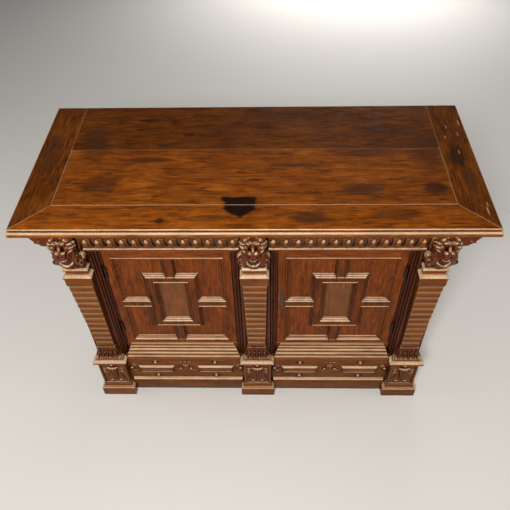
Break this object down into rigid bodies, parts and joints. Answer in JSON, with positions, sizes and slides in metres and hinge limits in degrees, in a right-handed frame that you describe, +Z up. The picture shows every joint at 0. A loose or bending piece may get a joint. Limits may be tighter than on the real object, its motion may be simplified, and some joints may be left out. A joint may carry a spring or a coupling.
{
  "type": "sideboard",
  "caption": "Low oak sideboard with panelled doors over base drawers, carved console pilasters, a gadrooned frieze and a mitred moulded top.",
  "frame": {"origin": "on the floor, at the centre of the top's plan", "axes": "+X along the front to the right as seen, +Y towards the wall, +Z up; the doors and drawers face -Y"},
  "size_m": [1.5, 0.66, 1.12],
  "materials": {
    "top_oak": "waxed oak, worn and darkened, long grain",
    "carved_oak": "dark stained carved oak, waxed",
    "door_oak": "quartered oak panels, waxed",
    "frame_oak": "stained oak frame, waxed",
    "inner_oak": "unfinished oak inside",
    "hinge_iron": "dark forged iron",
    "key_plate_metal": "old darkened brass",
    "lock_steel": "plain steel"
  },
  "bodies": {
    "carcass": {"back_boards": "inner_oak", "base_rails": "frame_oak", "bearers_and_runners": "inner_oak", "capital_centre": "carved_oak", "capital_left": "carved_oak", "capital_right": "carved_oak", "carcass_floor": "inner_oak", "door_surround_left": "frame_oak", "door_surround_right": "frame_oak", "frieze_mouldings": "carved_oak", "frieze_rails": "frame_oak", "front_post_centre": "frame_oak", "front_post_left": "frame_oak", "front_post_right": "frame_oak", "gadroon_bands": "carved_oak", "hinges_fixed": "hinge_iron", "leaf_socle_centre": "carved_oak", "leaf_socle_left": "carved_oak", "leaf_socle_right": "carved_oak", "lion_console_centre": "carved_oak", "lion_console_left": "carved_oak", "lion_console_right": "carved_oak", "partitions": "inner_oak", "pedestal_centre": "carved_oak", "pedestal_left": "carved_oak", "pedestal_right": "carved_oak", "rear_frame": "inner_oak", "shaft_centre": "carved_oak", "shaft_left": "carved_oak", "shaft_right": "carved_oak", "shelf_left": "inner_oak", "shelf_right": "inner_oak", "side_console_left": "carved_oak", "side_console_right": "carved_oak", "side_frame_left": "frame_oak", "side_frame_right": "frame_oak", "side_panel_left": "frame_oak", "side_panel_right": "frame_oak", "top_back_board": "top_oak", "top_centre_board": "top_oak", "top_end_left": "top_oak", "top_end_right": "top_oak", "top_front_rail": "top_oak"},
    "door_left": {"door_frame_left": "door_oak", "door_panel_left": "door_oak", "door_star_left": "door_oak", "hinge_leaves_left": "hinge_iron"},
    "door_right": {"door_frame_right": "door_oak", "door_panel_right": "door_oak", "door_star_right": "door_oak", "hinge_leaves_right": "hinge_iron", "key_plate": "key_plate_metal", "lock_case": "lock_steel"},
    "drawer_left": {"drawer_front_left": "frame_oak", "drawer_box_left": "inner_oak", "drawer_ornament_left": "carved_oak"},
    "drawer_right": {"drawer_front_right": "frame_oak", "drawer_box_right": "inner_oak", "drawer_ornament_right": "carved_oak"},
    "lock_bolt": {"lock_bolt": "lock_steel"}
  },
  "joints": [
    {"name": "door_left_hinge", "type": "hinge", "parent": "carcass", "child": "door_left", "pos_m": [-0.53775, -0.194, 0.6], "axis": [0, 0, -1], "range_deg": [0, 90]},
    {"name": "door_right_hinge", "type": "hinge", "parent": "carcass", "child": "door_right", "pos_m": [0.53775, -0.194, 0.6], "axis": [0, 0, 1], "range_deg": [0, 90]},
    {"name": "drawer_left_slide", "type": "slide", "parent": "carcass", "child": "drawer_left", "axis": [0, -1, 0], "range_m": [0, 0.33]},
    {"name": "drawer_right_slide", "type": "slide", "parent": "carcass", "child": "drawer_right", "axis": [0, -1, 0], "range_m": [0, 0.33]},
    {"name": "lock_bolt_slide", "type": "slide", "parent": "door_right", "child": "lock_bolt", "axis": [-1, 0, 0], "range_m": [0, 0.01]}
  ]
}
